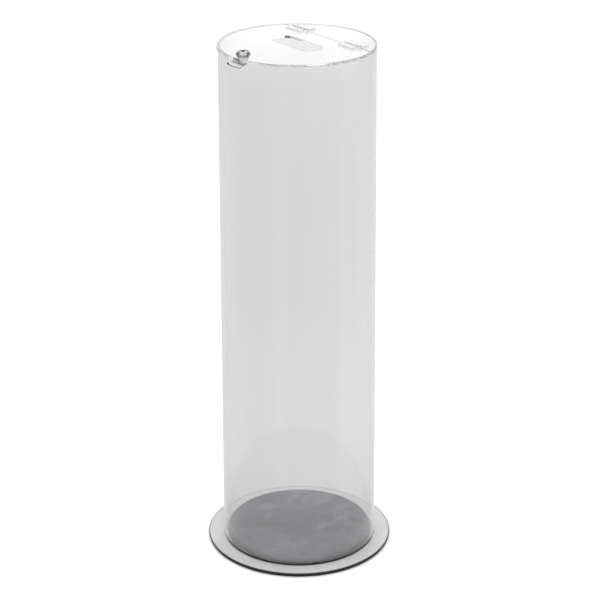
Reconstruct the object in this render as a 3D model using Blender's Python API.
"""Floor-standing fare and ticket collection box: a clear acrylic cylinder on a
ballasted stainless base, with a hinged clear lid held shut by a cam lock.

Frame: metres, +Z up, origin at the centre of the underside.  -Y is the lock
side (front), +Y the hinge side (back).

Holes are boolean cuts by hidden helper objects.  Helpers run a few millimetres
past the open faces they cut, so that no faces coincide.
"""

import bpy
import bmesh
import math
from mathutils import Vector

for old in list(bpy.data.objects):
    bpy.data.objects.remove(old, do_unlink=True)

MM = 0.001

# ------------------------------------------------------- shared dimensions
FIT_GAP = 0.3 * MM             # clearance between pieces that rest on each other

TUBE_OD = 300.0 * MM
TUBE_WALL = 4.0 * MM
TUBE_LENGTH = 1000.0 * MM
TUBE_OUTER_R = TUBE_OD / 2
TUBE_INNER_R = TUBE_OUTER_R - TUBE_WALL

FOOT_PAD_THICKNESS = 3.0 * MM
BASE_THICKNESS = 4.0 * MM
FLOOR_THICKNESS = 3.0 * MM
LID_THICKNESS = 5.0 * MM

HINGE_Y = 70.0 * MM            # chord on which the top is split
KNUCKLE_R = 3.0 * MM
LOCK_Y = -126.0 * MM

CAM_TOP = -16.4 * MM           # below the lid's top face
CAM_THICKNESS = 2.0 * MM

# Heights that follow from the stack
BASE_Z = FOOT_PAD_THICKNESS + FIT_GAP
BASE_TOP_Z = BASE_Z + BASE_THICKNESS
TUBE_Z = BASE_TOP_Z + FIT_GAP
TUBE_TOP_Z = TUBE_Z + TUBE_LENGTH
BALLAST_Z = TUBE_Z + FLOOR_THICKNESS + FIT_GAP
LID_Z = TUBE_TOP_Z + FIT_GAP
LID_TOP_Z = LID_Z + LID_THICKNESS
HINGE_Z = LID_TOP_Z + FIT_GAP + KNUCKLE_R

SEG_LARGE = 72                 # facets round the large discs and the tube
SEG_LOCK = 32                  # facets round the lock pieces
SEG_SMALL = 16                 # facets round screws, pins and knuckles


# --------------------------------------------------------------- materials
def principled(name, colour, roughness, metallic=0.0, transmission=0.0, ior=1.45):
    mat = bpy.data.materials.new(name)
    mat.use_nodes = True
    inputs = mat.node_tree.nodes["Principled BSDF"].inputs
    inputs["Base Color"].default_value = (*colour, 1.0)
    inputs["Roughness"].default_value = roughness
    inputs["Metallic"].default_value = metallic
    inputs["Transmission Weight"].default_value = transmission
    inputs["IOR"].default_value = ior
    viewport_alpha = 0.35 if transmission else 1.0
    mat.diffuse_color = (*colour, viewport_alpha)
    return mat


def acrylic(name):
    return principled(name, colour=(0.93, 0.94, 0.95), roughness=0.04,
                      transmission=0.95, ior=1.49)


def rubber(name):
    return principled(name, colour=(0.02, 0.02, 0.02), roughness=0.75)


def stainless(name):
    return principled(name, colour=(0.66, 0.66, 0.67), roughness=0.32, metallic=1.0)


def dark_steel(name):
    return principled(name, colour=(0.26, 0.255, 0.265), roughness=0.55, metallic=0.6)


def zinc(name):
    return principled(name, colour=(0.62, 0.62, 0.64), roughness=0.18, metallic=1.0)


def screw_steel(name):
    return principled(name, colour=(0.50, 0.50, 0.51), roughness=0.30, metallic=1.0)


def spring_steel(name):
    return principled(name, colour=(0.42, 0.42, 0.43), roughness=0.35, metallic=1.0)


def brass(name):
    return principled(name, colour=(0.78, 0.58, 0.27), roughness=0.30, metallic=1.0)


# ---------------------------------------------------------------- outlines
def arc(centre_x, centre_y, radius, start, end, steps):
    """Points on an arc, both ends included, angles in degrees."""
    angles = [math.radians(start + (end - start) * i / steps) for i in range(steps + 1)]
    return [(centre_x + radius * math.cos(angle), centre_y + radius * math.sin(angle))
            for angle in angles]


def circle(radius, segments, centre=(0, 0), start=0.0):
    return arc(*centre, radius, start, start + 360.0, segments)[:-1]


def rounded_rectangle(length, width, radius, steps):
    points = []
    for side_x, side_y, start in ((1, 1, 0), (-1, 1, 90), (-1, -1, 180), (1, -1, 270)):
        points += arc(side_x * (length / 2 - radius), side_y * (width / 2 - radius),
                      radius, start, start + 90, steps)
    return points


def double_d(radius, across_flats, steps):
    """Circle with two flats that face +X and -X."""
    half = math.degrees(math.acos(across_flats / 2 / radius))
    return (arc(0, 0, radius, half, 180 - half, steps)
            + arc(0, 0, radius, 180 + half, 360 - half, steps))


def chord_disc(centre_y, radius, chord_y, keep_low, steps):
    """Disc cut by the line y = chord_y; the part below or above it is kept."""
    angle = math.degrees(math.asin((chord_y - centre_y) / radius))
    if keep_low:
        return arc(0, centre_y, radius, 180 - angle, 360 + angle, steps)
    return arc(0, centre_y, radius, angle, 180 - angle, steps)


# ------------------------------------------------------------------ solids
def finish_mesh(name, bm, material, smooth_angle=30.0):
    bmesh.ops.recalc_face_normals(bm, faces=bm.faces)
    mesh = bpy.data.meshes.new(name)
    bm.to_mesh(mesh)
    bm.free()
    mesh.shade_smooth()
    mesh.set_sharp_from_angle(angle=math.radians(smooth_angle))
    obj = bpy.data.objects.new(name, mesh)
    bpy.context.scene.collection.objects.link(obj)
    if material is not None:
        mesh.materials.append(material)
    return obj


def turned(name, profile, segments, material=None):
    """Turn a closed (radius, height) outline about the Z axis."""
    bm = bmesh.new()
    ring = [bm.verts.new((radius, 0.0, z)) for radius, z in profile]
    edges = []
    for i, (radius, _) in enumerate(profile):
        following = (i + 1) % len(profile)
        # an edge along the axis closes the outline but makes no surface
        if radius > 0 or profile[following][0] > 0:
            edges.append(bm.edges.new((ring[i], ring[following])))
    bmesh.ops.spin(bm, geom=ring + edges, cent=(0, 0, 0), axis=(0, 0, 1),
                   angle=2 * math.pi, steps=segments, use_merge=True, use_duplicate=False)
    bmesh.ops.remove_doubles(bm, verts=bm.verts, dist=0.000001)
    return finish_mesh(name, bm, material)


def prism(name, corners, shift, material, smooth_angle=30.0):
    """Extrude the face with these 3D corners by the vector shift."""
    bm = bmesh.new()
    face = bm.faces.new([bm.verts.new(corner) for corner in corners])
    grown = bmesh.ops.extrude_face_region(bm, geom=[face])
    far_end = [item for item in grown["geom"] if isinstance(item, bmesh.types.BMVert)]
    bmesh.ops.translate(bm, verts=far_end, vec=shift)
    return finish_mesh(name, bm, material, smooth_angle)


def extruded(name, outline, z_start, z_end, material=None, smooth_angle=30.0):
    """Extrude a closed (x, y) outline along Z."""
    corners = [(x, y, z_start) for x, y in outline]
    return prism(name, corners, (0, 0, z_end - z_start), material, smooth_angle)


def across(name, outline, x_start, x_end, material=None):
    """Extrude a closed (y, z) outline along X."""
    corners = [(x_start, y, z) for y, z in outline]
    return prism(name, corners, (x_end - x_start, 0, 0), material)


def block(name, low, high):
    """Box between two opposite corners."""
    outline = [(low[0], low[1]), (high[0], low[1]), (high[0], high[1]), (low[0], high[1])]
    return extruded(name, outline, low[2], high[2])


def cut(obj, *cutters):
    for cutter in cutters:
        cutter.hide_render = True
        cutter.display_type = "WIRE"
        mod = obj.modifiers.new("cut_" + cutter.name, "BOOLEAN")
        mod.operation = "DIFFERENCE"
        mod.solver = "EXACT"
        mod.object = cutter


def place(obj, parent=None, location=(0, 0, 0), rotation=(0, 0, 0)):
    obj.parent = parent
    obj.location = location
    obj.rotation_euler = rotation
    return obj


# ------------------------------------------------------------------ frames
def axis_empty(name, location, parent=None):
    empty = bpy.data.objects.new(name, None)
    empty.empty_display_size = 0.03
    bpy.context.scene.collection.objects.link(empty)
    return place(empty, parent, location)


lid_axis = axis_empty("axis_lid_hinge", (0, HINGE_Y, HINGE_Z))
lock_axis = axis_empty("axis_lock", (0, LOCK_Y - HINGE_Y, LID_TOP_Z - HINGE_Z), lid_axis)
core_axis = axis_empty("axis_lock_core", (0, 0, 0), lock_axis)

# -------------------------------------------------------------------- base
FOOT_PAD_R = 178.0 * MM
BASE_R = 180.0 * MM
BASE_CHAMFER = 0.6 * MM
FLOOR_SIDE_GAP = 0.5 * MM      # between the floor's edge and the tube
BALLAST_R = 141.5 * MM
BALLAST_THICKNESS = 8.0 * MM
BALLAST_CHAMFER = 1.2 * MM
BALLAST_BEVEL_MID = 0.35 * BALLAST_CHAMFER

SCREW_COUNT = 4
SCREW_CIRCLE_R = 110.0 * MM
SCREW_START_ANGLE = 45.0
SCREW_R = 3.0 * MM
SCREW_HEAD_R = 6.0 * MM
SCREW_HEAD_HEIGHT = 3.0 * MM
SCREW_LENGTH = 12.8 * MM
SCREW_TIP_CHAMFER = 0.8 * MM
SCREW_Z = BASE_Z + 0.1 * MM    # head lies just inside the plate's underside
SOCKET_R = 2.3 * MM            # hexagon, across corners
SOCKET_DEPTH = 2.2 * MM

PAD_HOLE_R = 7.5 * MM
SINK_MOUTH_R = SCREW_HEAD_R + 2.35 * MM   # at the cutter's low end, below the plate
PLATE_HOLE_R = SCREW_R + 0.35 * MM
FLOOR_HOLE_R = SCREW_R + 0.4 * MM
BALLAST_HOLE_R = SCREW_R + 0.25 * MM
BALLAST_HOLE_DEPTH = 6.1 * MM


def build_foot_pad():
    return extruded("foot_pad", circle(FOOT_PAD_R, SEG_LARGE), 0, FOOT_PAD_THICKNESS,
                    rubber("black_rubber"))


def build_base_plate():
    profile = [(0, 0), (BASE_R, 0), (BASE_R, BASE_THICKNESS - BASE_CHAMFER),
               (BASE_R - BASE_CHAMFER, BASE_THICKNESS), (0, BASE_THICKNESS)]
    plate = turned("base_plate", profile, SEG_LARGE, stainless("brushed_stainless"))
    return place(plate, location=(0, 0, BASE_Z))


def build_tube_floor():
    tube_floor = extruded("tube_floor", circle(TUBE_INNER_R - FLOOR_SIDE_GAP, SEG_LARGE),
                          0, FLOOR_THICKNESS, acrylic("acrylic_floor"))
    return place(tube_floor, location=(0, 0, TUBE_Z))


def build_ballast():
    profile = [(0, 0), (BALLAST_R, 0), (BALLAST_R, BALLAST_THICKNESS - BALLAST_CHAMFER),
               (BALLAST_R - BALLAST_BEVEL_MID, BALLAST_THICKNESS - BALLAST_BEVEL_MID),
               (BALLAST_R - BALLAST_CHAMFER, BALLAST_THICKNESS), (0, BALLAST_THICKNESS)]
    disc = turned("ballast_disc", profile, SEG_LARGE, dark_steel("dark_steel"))
    return place(disc, location=(0, 0, BALLAST_Z))


def drill_screw_holes(number, x, y, foot_pad, base_plate, tube_floor, ballast):
    """Holes for one screw through the pad, plate and floor, blind in the ballast."""
    pad_hole = extruded(f"pad_hole_{number}", circle(PAD_HOLE_R, SEG_SMALL, (x, y)),
                        -5 * MM, FOOT_PAD_THICKNESS + 5 * MM)
    cut(foot_pad, pad_hole)

    hole_top = BASE_THICKNESS + 3 * MM
    profile = [(0, -2 * MM), (SINK_MOUTH_R, -2 * MM),
               (PLATE_HOLE_R, SCREW_HEAD_HEIGHT + 0.1 * MM),
               (PLATE_HOLE_R, hole_top), (0, hole_top)]
    countersink = turned(f"plate_hole_{number}", profile, SEG_SMALL)
    cut(base_plate, place(countersink, location=(x, y, BASE_Z)))

    # helpers stand at the world origin and move with their cut piece's frame only
    floor_hole = extruded(f"floor_hole_{number}", circle(FLOOR_HOLE_R, SEG_SMALL, (x, y)),
                          BASE_TOP_Z - 2 * MM, BALLAST_Z + 2 * MM)
    cut(tube_floor, floor_hole)
    ballast_hole = extruded(f"ballast_hole_{number}",
                            circle(BALLAST_HOLE_R, SEG_SMALL, (x, y)),
                            BALLAST_Z - 2 * MM, BALLAST_Z + BALLAST_HOLE_DEPTH)
    cut(ballast, ballast_hole)


def build_base_screw(number, x, y):
    """Countersunk screw, head down, with a hexagon socket."""
    profile = [(0, 0), (SCREW_HEAD_R, 0), (SCREW_R, SCREW_HEAD_HEIGHT),
               (SCREW_R, SCREW_LENGTH - SCREW_TIP_CHAMFER),
               (SCREW_R - SCREW_TIP_CHAMFER, SCREW_LENGTH), (0, SCREW_LENGTH)]
    screw = turned(f"base_screw_{number}", profile, SEG_SMALL,
                   screw_steel(f"screw_steel_{number}"))
    place(screw, location=(x, y, SCREW_Z))
    socket = extruded(f"socket_{number}", circle(SOCKET_R, 6), -2 * MM, SOCKET_DEPTH)
    cut(screw, place(socket, location=(x, y, SCREW_Z)))


def build_base():
    drilled = (build_foot_pad(), build_base_plate(), build_tube_floor(), build_ballast())
    for i in range(SCREW_COUNT):
        angle = math.radians(SCREW_START_ANGLE + 360.0 * i / SCREW_COUNT)
        x = SCREW_CIRCLE_R * math.cos(angle)
        y = SCREW_CIRCLE_R * math.sin(angle)
        drill_screw_holes(i + 1, x, y, *drilled)
        build_base_screw(i + 1, x, y)


# -------------------------------------------------------------------- tube
CAM_SLOT_LENGTH = 40.0 * MM
CAM_SLOT_HEIGHT = 4.4 * MM
CAM_SLOT_CORNER = CAM_SLOT_HEIGHT / 2 - 0.01 * MM


def build_tube():
    profile = [(TUBE_INNER_R, 0), (TUBE_OUTER_R, 0),
               (TUBE_OUTER_R, TUBE_LENGTH), (TUBE_INNER_R, TUBE_LENGTH)]
    tube = turned("tube", profile, SEG_LARGE, acrylic("acrylic_tube"))
    place(tube, location=(0, 0, TUBE_Z))
    # slot in the front wall that the cam swings into, level with the cam's middle
    outline = rounded_rectangle(CAM_SLOT_LENGTH, CAM_SLOT_HEIGHT, CAM_SLOT_CORNER, 4)
    slot = extruded("tube_cam_slot", outline, -12 * MM, 12 * MM)
    place(slot, location=(0, -TUBE_OUTER_R, LID_TOP_Z + CAM_TOP - CAM_THICKNESS / 2),
          rotation=(math.radians(90), 0, 0))
    cut(tube, slot)


# --------------------------------------------------------------------- top
LID_OVERHANG = 3.0 * MM        # the lid stands proud of the tube on the lock side
LID_RADIUS = (TUBE_OD + LID_OVERHANG) / 2
LID_CENTRE_Y = -LID_OVERHANG / 2
SEAM_HALF_GAP = 0.4 * MM

DROP_OPENING_LENGTH = 122.0 * MM
DROP_OPENING_WIDTH = 46.0 * MM
DROP_OPENING_CORNER = 18.0 * MM
DROP_OPENING_Y = 0.0 * MM

LOCK_HOLE_R = 9.8 * MM
LOCK_HOLE_FLATS = 17.1 * MM


def build_rear_segment():
    outline = chord_disc(0, TUBE_OUTER_R, HINGE_Y + SEAM_HALF_GAP, keep_low=False, steps=24)
    rear = extruded("rear_lid_segment", outline, 0, LID_THICKNESS, acrylic("acrylic_rear_top"))
    place(rear, location=(0, 0, LID_Z))


def build_lid():
    outline = chord_disc(LID_CENTRE_Y, LID_RADIUS, HINGE_Y - SEAM_HALF_GAP,
                         keep_low=True, steps=48)
    lid = extruded("lid", outline, -LID_THICKNESS, 0, acrylic("acrylic_lid"))
    place(lid, lid_axis, (0, -HINGE_Y, LID_TOP_Z - HINGE_Z))

    opening_outline = rounded_rectangle(DROP_OPENING_LENGTH, DROP_OPENING_WIDTH,
                                        DROP_OPENING_CORNER, 6)
    opening = extruded("drop_opening_cut", opening_outline, -20 * MM, 15 * MM)
    place(opening, lid_axis, (0, DROP_OPENING_Y - HINGE_Y, LID_TOP_Z - HINGE_Z))
    lock_hole = extruded("lock_hole_cut", double_d(LOCK_HOLE_R, LOCK_HOLE_FLATS, 10),
                         -20 * MM, 15 * MM)
    cut(lid, opening, place(lock_hole, lock_axis))


# ------------------------------------------------------------------ hinges
HINGE_X = 80.0 * MM            # either side of the centre
HINGE_HALF = 45.0 * MM / 2     # half the hinge's length
CENTRE_KNUCKLE_HALF = 18.0 * MM / 2   # half the lid leaf's one knuckle
KNUCKLE_SIDE_GAP = 0.4 * MM
KNUCKLE_CLEAR_R = KNUCKLE_R + 0.5 * MM
LEAF_THICKNESS = 2.2 * MM
LEAF_REACH = 19.0 * MM
LEAF_BEVEL = 0.5 * MM
PIN_R = 1.0 * MM
PIN_BORE_R = 1.2 * MM
PIN_END_INSET = 0.2 * MM


def leaf_profile(side):
    """(y, z) section of a leaf and its knuckle about the hinge axis; side 1 is +Y."""
    low = -KNUCKLE_R
    high = low + LEAF_THICKNESS
    start = math.degrees(math.asin(high / KNUCKLE_R))
    points = arc(0, 0, KNUCKLE_R, start, 270, 14)
    points += [(LEAF_REACH - LEAF_BEVEL, low), (LEAF_REACH, low + LEAF_BEVEL),
               (LEAF_REACH, high - LEAF_BEVEL), (LEAF_REACH - LEAF_BEVEL, high)]
    return [(side * y, z) for y, z in points]


def pin_bore(name, parent, location):
    end = HINGE_HALF + 5 * MM
    bore = across(name, circle(PIN_BORE_R, SEG_SMALL), -end, end)
    return place(bore, parent, location)


def build_fixed_leaf(label, location):
    """Leaf on the rear segment, with a knuckle at each end."""
    leaf = across(f"hinge_{label}_fixed_leaf", leaf_profile(1), -HINGE_HALF, HINGE_HALF,
                  acrylic(f"acrylic_fixed_leaf_{label}"))
    place(leaf, None, location)
    gap_half = CENTRE_KNUCKLE_HALF + KNUCKLE_SIDE_GAP
    gap = block(f"fixed_gap_{label}", (-gap_half, -6 * MM, -6 * MM),
                (gap_half, KNUCKLE_CLEAR_R, 6 * MM))
    place(gap, None, location)
    cut(leaf, gap, pin_bore(f"fixed_bore_{label}", None, location))


def build_lid_leaf(label, location):
    """Leaf on the lid, with one knuckle in the middle."""
    leaf = across(f"hinge_{label}_lid_leaf", leaf_profile(-1), -HINGE_HALF, HINGE_HALF,
                  acrylic(f"acrylic_lid_leaf_{label}"))
    place(leaf, lid_axis, location)
    past_end = HINGE_HALF + 5 * MM
    for end, x_low, x_high in (("a", -past_end, -CENTRE_KNUCKLE_HALF),
                               ("b", CENTRE_KNUCKLE_HALF, past_end)):
        gap = block(f"lid_gap_{label}_{end}", (x_low, -KNUCKLE_CLEAR_R, -6 * MM),
                    (x_high, 6 * MM, 6 * MM))
        cut(leaf, place(gap, lid_axis, location))
    cut(leaf, pin_bore(f"lid_bore_{label}", lid_axis, location))


def build_hinge(label, x):
    fixed_location = (x, HINGE_Y, HINGE_Z)
    build_fixed_leaf(label, fixed_location)
    build_lid_leaf(label, (x, 0, 0))
    pin_half = HINGE_HALF - PIN_END_INSET
    pin = across(f"hinge_{label}_pin", circle(PIN_R, SEG_SMALL), -pin_half, pin_half,
                 screw_steel(f"pin_steel_{label}"))
    place(pin, None, fixed_location)


# -------------------------------------------------------------------- lock
# Heights are from the lid's top face, radii from the lock's axis.
HEAD_R = 14.2 * MM             # at the lid; the head narrows upwards
FACE_R = 10.8 * MM
HEAD_LOW = FIT_GAP
HEAD_HIGH = 5.3 * MM
BARREL_R = 9.5 * MM
BARREL_FLATS = 16.5 * MM       # width across the barrel's two flats
BARREL_BOTTOM = -16.0 * MM
BORE_R = 6.15 * MM
RIM_RECESS_R = 6.95 * MM       # recess in the head for the plug's rim
RIM_SEAT = 4.3 * MM
MOUTH_R = 6.75 * MM            # bore at the barrel's lower end
WASHER_SEAT = -15.0 * MM
FLAT_STEP = 0.05 * MM          # flats stop this far below the shoulder above them

CAP_HOLE_R = 7.0 * MM
CAP_LOW = HEAD_HIGH + FIT_GAP
CAP_HIGH = 6.2 * MM

NUT_GAP = 0.4 * MM             # clearance above the nut and above its washer
NUT_WASHER_TOP = -LID_THICKNESS - NUT_GAP
NUT_WASHER_BOTTOM = NUT_WASHER_TOP - 0.9 * MM
NUT_TOP = NUT_WASHER_BOTTOM - NUT_GAP
NUT_BOTTOM = NUT_TOP - 3.5 * MM
NUT_R = 12.7 * MM              # to the corners
NUT_HOLE_R = 9.8 * MM
NUT_TURN = 22.0                # where the nut came to rest when it was tightened

PLUG_R = 6.0 * MM
PLUG_RIM_R = 6.7 * MM
PLUG_RIM_LOW = RIM_SEAT + FIT_GAP
PLUG_TOP = 5.9 * MM
PLUG_SHOULDER = -14.6 * MM
TAIL_R = 4.5 * MM
TAIL_HALF_FLATS = 3.4 * MM
TAIL_BOTTOM = CAM_TOP - CAM_THICKNESS - 0.2 * MM
TAIL_BORE_R = 2.2 * MM
TAIL_BORE_TOP = -11.8 * MM
TAIL_CLEARANCE = 0.25 * MM     # round the tail, in the stop washer and the cam

KEYWAY_HALF_WIDTH = 0.8 * MM
KEYWAY_HALF_LENGTH = 3.6 * MM
KEYWAY_BOTTOM = -10.6 * MM

REST_ANGLE = 180.0             # cam points to -X with the lock open
STOP_TRAVEL = 90.0
STOP_MARGIN = 3.0
STOP_EAR_HALF = 20.0
STOP_EAR_R = 8.9 * MM
STOP_WASHER_R = 6.5 * MM
STOP_WASHER_BOTTOM = CAM_TOP + FIT_GAP

CAM_LENGTH = 25.0 * MM
CAM_WIDTH = 16.0 * MM
CAM_CORNER = 5.0 * MM
CAM_WASHER_TOP = TAIL_BOTTOM - FIT_GAP
CAM_WASHER_BOTTOM = CAM_WASHER_TOP - 0.8 * MM
CAM_SCREW_SEAT = CAM_WASHER_BOTTOM - FIT_GAP
CAM_SCREW_TIP = TAIL_BORE_TOP - FIT_GAP
CAM_SCREW_R = 2.0 * MM
CAM_SCREW_HEAD_R = 3.8 * MM
CAM_SCREW_BOTTOM = -22.2 * MM
CAM_SOCKET_R = 1.5 * MM
CAM_SOCKET_TOP = -20.8 * MM

WAFER_PITCH = 2.4 * MM
WAFER_TOP = -1.6 * MM          # level of the first wafer's middle
WAFER_THICKNESS = 0.6 * MM
WAFER_WIDTH = 6.0 * MM
WINDOW_DEPTHS = (1.9 * MM, 2.4 * MM, 2.1 * MM, 2.6 * MM)   # one per wafer, towards -Y
WAFER_COUNT = len(WINDOW_DEPTHS)
GROOVE_HALF_WIDTH = WAFER_WIDTH / 2 + 0.35 * MM
GROOVE_REACH = 6.95 * MM
GROOVE_MARGIN = 1.4 * MM       # above the first wafer's level and below the last's
SLOT_HALF_WIDTH = WAFER_WIDTH / 2 + 0.15 * MM
SLOT_HALF_HEIGHT = 0.5 * MM
POCKET_HALF_HEIGHT = 0.85 * MM

# (x, y) in millimetres; the last four points make the ear the spring bears on
WAFER_OUTLINE_MM = [
    (3.0, 5.05), (1.6, 5.65), (0.0, 5.85), (-1.6, 5.65), (-3.0, 5.05),
    (-3.0, -5.05), (-1.6, -5.65), (0.0, -5.85), (1.6, -5.65), (3.0, -5.05),
    (3.0, 0.9), (4.7, 0.9), (4.7, 1.7), (3.0, 1.7)]

SPRING_COIL_R = 0.55 * MM
SPRING_WIRE_R = 0.11 * MM
SPRING_LENGTH = 3.35 * MM
SPRING_X = 4.0 * MM
SPRING_START_Y = -2.75 * MM
SPRING_TURNS = 4
SPRING_STEPS = 10              # rings per turn
SPRING_SIDES = 4               # facets round the wire


def flat_cutters(name, near_x, reach, low, high, parent):
    """A block on each side of the axis, leaving flats that face -X and +X."""
    cutters = []
    for suffix, sign in (("a", -1), ("b", 1)):
        low_x, high_x = sorted((sign * near_x, sign * reach))
        cutter = block(f"{name}_{suffix}", (low_x, -reach, low), (high_x, reach, high))
        cutters.append(place(cutter, parent))
    return cutters


def build_lock_body():
    profile = [(MOUTH_R, BARREL_BOTTOM), (BARREL_R - 0.5 * MM, BARREL_BOTTOM),
               (BARREL_R, BARREL_BOTTOM + 0.5 * MM), (BARREL_R, HEAD_LOW),
               (HEAD_R - 0.8 * MM, HEAD_LOW), (HEAD_R - 0.8 * MM, 1.1 * MM),
               (FACE_R - 0.6 * MM, HEAD_HIGH), (RIM_RECESS_R, HEAD_HIGH),
               (RIM_RECESS_R, RIM_SEAT), (BORE_R, RIM_SEAT),
               (BORE_R, WASHER_SEAT), (MOUTH_R, WASHER_SEAT)]
    body = turned("lock_body", profile, SEG_LOCK, zinc("zinc_body"))
    place(body, lock_axis)
    cut(body, *flat_cutters("barrel_flat", BARREL_FLATS / 2, 20 * MM,
                            BARREL_BOTTOM - 5 * MM, HEAD_LOW - FLAT_STEP, lock_axis))

    # crossed grooves in the bore, over the height of all the wafers
    low = WAFER_TOP - (WAFER_COUNT - 1) * WAFER_PITCH - GROOVE_MARGIN
    high = WAFER_TOP + GROOVE_MARGIN
    for number, (x, y) in enumerate(((GROOVE_HALF_WIDTH, GROOVE_REACH),
                                     (GROOVE_REACH, GROOVE_HALF_WIDTH)), 1):
        groove = block(f"wafer_groove_{number}", (-x, -y, low), (x, y, high))
        cut(body, place(groove, lock_axis))

    # sector in the barrel's end in which the stop washer's ear turns
    sector = [(0, 0)] + arc(0, 0, 12 * MM, REST_ANGLE - STOP_EAR_HALF - STOP_MARGIN,
                            REST_ANGLE + STOP_TRAVEL + STOP_EAR_HALF + STOP_MARGIN, 10)
    stop_cut = extruded("stop_travel_cut", sector, BARREL_BOTTOM - 3 * MM, WASHER_SEAT)
    cut(body, place(stop_cut, lock_axis))


def build_face_cap():
    """Thin shell over the lock's head."""
    profile = [(CAP_HOLE_R, CAP_LOW), (FACE_R - 0.3 * MM, CAP_LOW),
               (HEAD_R - 0.5 * MM, 1.25 * MM), (HEAD_R - 0.5 * MM, 0.5 * MM),
               (HEAD_R, 0.5 * MM), (HEAD_R, 1.5 * MM), (FACE_R, 5.9 * MM),
               (FACE_R - 0.4 * MM, CAP_HIGH), (CAP_HOLE_R, CAP_HIGH)]
    place(turned("lock_face_cap", profile, SEG_LOCK, stainless("polished_cap")), lock_axis)


def build_washer(name, inner_r, outer_r, low, high, material, parent):
    profile = [(inner_r, low), (outer_r, low), (outer_r, high), (inner_r, high)]
    place(turned(name, profile, SEG_LOCK, material), parent)


def build_nut():
    nut = extruded("lock_nut", circle(NUT_R, 6, start=NUT_TURN), NUT_BOTTOM, NUT_TOP,
                   zinc("zinc_nut"))
    place(nut, lock_axis)
    hole = extruded("nut_hole_cut", circle(NUT_HOLE_R, SEG_LOCK), -15 * MM, -2 * MM)
    cut(nut, place(hole, lock_axis))


def build_plug():
    """Turning core, with a flatted tail that drives the cam."""
    profile = [(0, TAIL_BOTTOM), (TAIL_R, TAIL_BOTTOM), (TAIL_R, PLUG_SHOULDER),
               (PLUG_R, PLUG_SHOULDER), (PLUG_R, PLUG_RIM_LOW), (PLUG_RIM_R, PLUG_RIM_LOW),
               (PLUG_RIM_R, PLUG_TOP - 0.4 * MM), (PLUG_RIM_R - 0.3 * MM, PLUG_TOP),
               (0, PLUG_TOP)]
    plug = turned("lock_plug", profile, SEG_LOCK, zinc("zinc_plug"))
    place(plug, core_axis)
    cut(plug, *flat_cutters("tail_flat", TAIL_HALF_FLATS, 12 * MM,
                            TAIL_BOTTOM - 3 * MM, PLUG_SHOULDER - FLAT_STEP, core_axis))
    keyway = block("keyway_cut", (-KEYWAY_HALF_WIDTH, -KEYWAY_HALF_LENGTH, KEYWAY_BOTTOM),
                   (KEYWAY_HALF_WIDTH, KEYWAY_HALF_LENGTH, 12 * MM))
    tail_bore = extruded("tail_bore_cut", circle(TAIL_BORE_R, SEG_SMALL),
                         TAIL_BOTTOM - 3 * MM, TAIL_BORE_TOP)
    cut(plug, place(keyway, core_axis), place(tail_bore, core_axis))
    return plug


def cut_wafer_seat(plug, number, level):
    """Slot through the plug for a wafer, and the pocket for its spring."""
    slot = block(f"wafer_slot_{number}",
                 (-SLOT_HALF_WIDTH, -12 * MM, level - SLOT_HALF_HEIGHT),
                 (SLOT_HALF_WIDTH, 12 * MM, level + SLOT_HALF_HEIGHT))
    pocket = block(f"spring_pocket_{number}",
                   (2.0 * MM, -3.0 * MM, level - POCKET_HALF_HEIGHT),
                   (4.95 * MM, 2.6 * MM, level + POCKET_HALF_HEIGHT))
    cut(plug, place(slot, core_axis), place(pocket, core_axis))


def build_wafer(number, level, window_depth):
    outline = [(x * MM, y * MM) for x, y in WAFER_OUTLINE_MM]
    wafer = extruded(f"lock_wafer_{number}", outline, -WAFER_THICKNESS / 2,
                     WAFER_THICKNESS / 2, brass(f"brass_wafer_{number}"), smooth_angle=20)
    place(wafer, core_axis, (0, 0, level))
    window = block(f"wafer_window_{number}", (-1.3 * MM, -window_depth, -2 * MM),
                   (1.3 * MM, 2.8 * MM, 2 * MM))
    cut(wafer, place(window, core_axis, (0, 0, level)))


def build_spring(number, level):
    """Compression spring along Y, from the pocket's end to the wafer's ear."""
    bm = bmesh.new()
    along = Vector((0, 1, 0))
    rings = []
    for i in range(SPRING_TURNS * SPRING_STEPS + 1):
        fraction = i / (SPRING_TURNS * SPRING_STEPS)
        angle = 2 * math.pi * SPRING_TURNS * fraction
        radial = Vector((math.cos(angle), 0, math.sin(angle)))
        centre = SPRING_COIL_R * radial + SPRING_LENGTH * fraction * along
        ring = []
        for k in range(SPRING_SIDES):
            turn = 2 * math.pi * k / SPRING_SIDES
            offset = math.cos(turn) * radial + math.sin(turn) * along
            ring.append(bm.verts.new(centre + SPRING_WIRE_R * offset))
        rings.append(ring)
    for first, second in zip(rings, rings[1:]):
        for k in range(SPRING_SIDES):
            following = (k + 1) % SPRING_SIDES
            bm.faces.new((first[k], first[following], second[following], second[k]))
    bm.faces.new(rings[0])
    bm.faces.new(rings[-1])
    spring = finish_mesh(f"lock_wafer_spring_{number}", bm,
                         spring_steel(f"spring_steel_{number}"), smooth_angle=50)
    place(spring, core_axis, (SPRING_X, SPRING_START_Y, level))


def cut_tail_hole(piece, low, high):
    outline = double_d(TAIL_R + TAIL_CLEARANCE, 2 * (TAIL_HALF_FLATS + TAIL_CLEARANCE), 8)
    hole = extruded(piece.name + "_hole", outline, low, high)
    cut(piece, place(hole, core_axis))


def build_stop_washer():
    """Round washer with one ear that limits the plug's turn."""
    ear_start = REST_ANGLE - STOP_EAR_HALF
    ear_end = REST_ANGLE + STOP_EAR_HALF
    outline = (arc(0, 0, STOP_EAR_R, ear_start, ear_end, 4)
               + arc(0, 0, STOP_WASHER_R, ear_end, ear_start + 360, 24))
    washer = extruded("lock_stop_washer", outline, STOP_WASHER_BOTTOM, WASHER_SEAT - FIT_GAP,
                      screw_steel("stop_washer_steel"))
    place(washer, core_axis)
    cut_tail_hole(washer, -18 * MM, -14 * MM)


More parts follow.
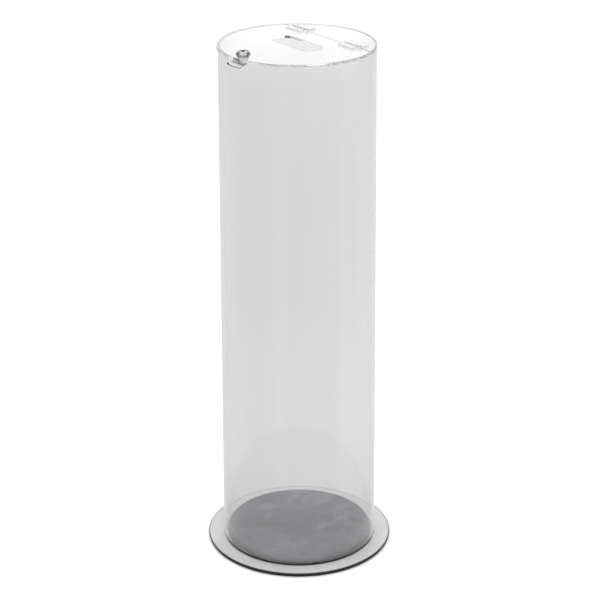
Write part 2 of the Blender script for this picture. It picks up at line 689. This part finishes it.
def build_cam():
    """Flat arm that points to -X, rounded about the lock's axis."""
    corner_x = -CAM_LENGTH + CAM_CORNER
    corner_y = CAM_WIDTH / 2 - CAM_CORNER
    outline = (arc(0, 0, CAM_WIDTH / 2, -90, 90, 12)
               + arc(corner_x, corner_y, CAM_CORNER, 90, 180, 4)
               + arc(corner_x, -corner_y, CAM_CORNER, 180, 270, 4))
    cam = extruded("lock_cam", outline, CAM_TOP - CAM_THICKNESS, CAM_TOP,
                   screw_steel("cam_steel"))
    place(cam, core_axis)
    cut_tail_hole(cam, -21 * MM, -14 * MM)


def build_cam_screw():
    profile = [(0, CAM_SCREW_BOTTOM), (CAM_SCREW_HEAD_R - 0.9 * MM, CAM_SCREW_BOTTOM),
               (CAM_SCREW_HEAD_R, CAM_SCREW_BOTTOM + 0.8 * MM),
               (CAM_SCREW_HEAD_R, CAM_SCREW_SEAT), (CAM_SCREW_R, CAM_SCREW_SEAT),
               (CAM_SCREW_R, CAM_SCREW_TIP - 0.5 * MM),
               (CAM_SCREW_R - 0.4 * MM, CAM_SCREW_TIP), (0, CAM_SCREW_TIP)]
    screw = turned("lock_cam_screw", profile, SEG_SMALL, screw_steel("cam_screw_steel"))
    place(screw, core_axis)
    socket = extruded("cam_screw_socket", circle(CAM_SOCKET_R, 6), -25 * MM, CAM_SOCKET_TOP)
    cut(screw, place(socket, core_axis))


def build_lock():
    build_lock_body()
    build_face_cap()
    build_washer("lock_nut_washer", 9.9 * MM, 11.8 * MM, NUT_WASHER_BOTTOM, NUT_WASHER_TOP,
                 screw_steel("nut_washer_steel"), lock_axis)
    build_nut()
    plug = build_plug()
    for i, window_depth in enumerate(WINDOW_DEPTHS):
        level = WAFER_TOP - i * WAFER_PITCH
        cut_wafer_seat(plug, i + 1, level)
        build_wafer(i + 1, level, window_depth)
        build_spring(i + 1, level)
    build_stop_washer()
    build_cam()
    build_washer("lock_cam_washer", 2.4 * MM, 5.6 * MM, CAM_WASHER_BOTTOM, CAM_WASHER_TOP,
                 screw_steel("cam_washer_steel"), core_axis)
    build_cam_screw()


build_base()
build_tube()
build_rear_segment()
build_lid()
build_hinge("left", -HINGE_X)
build_hinge("right", HINGE_X)
build_lock()
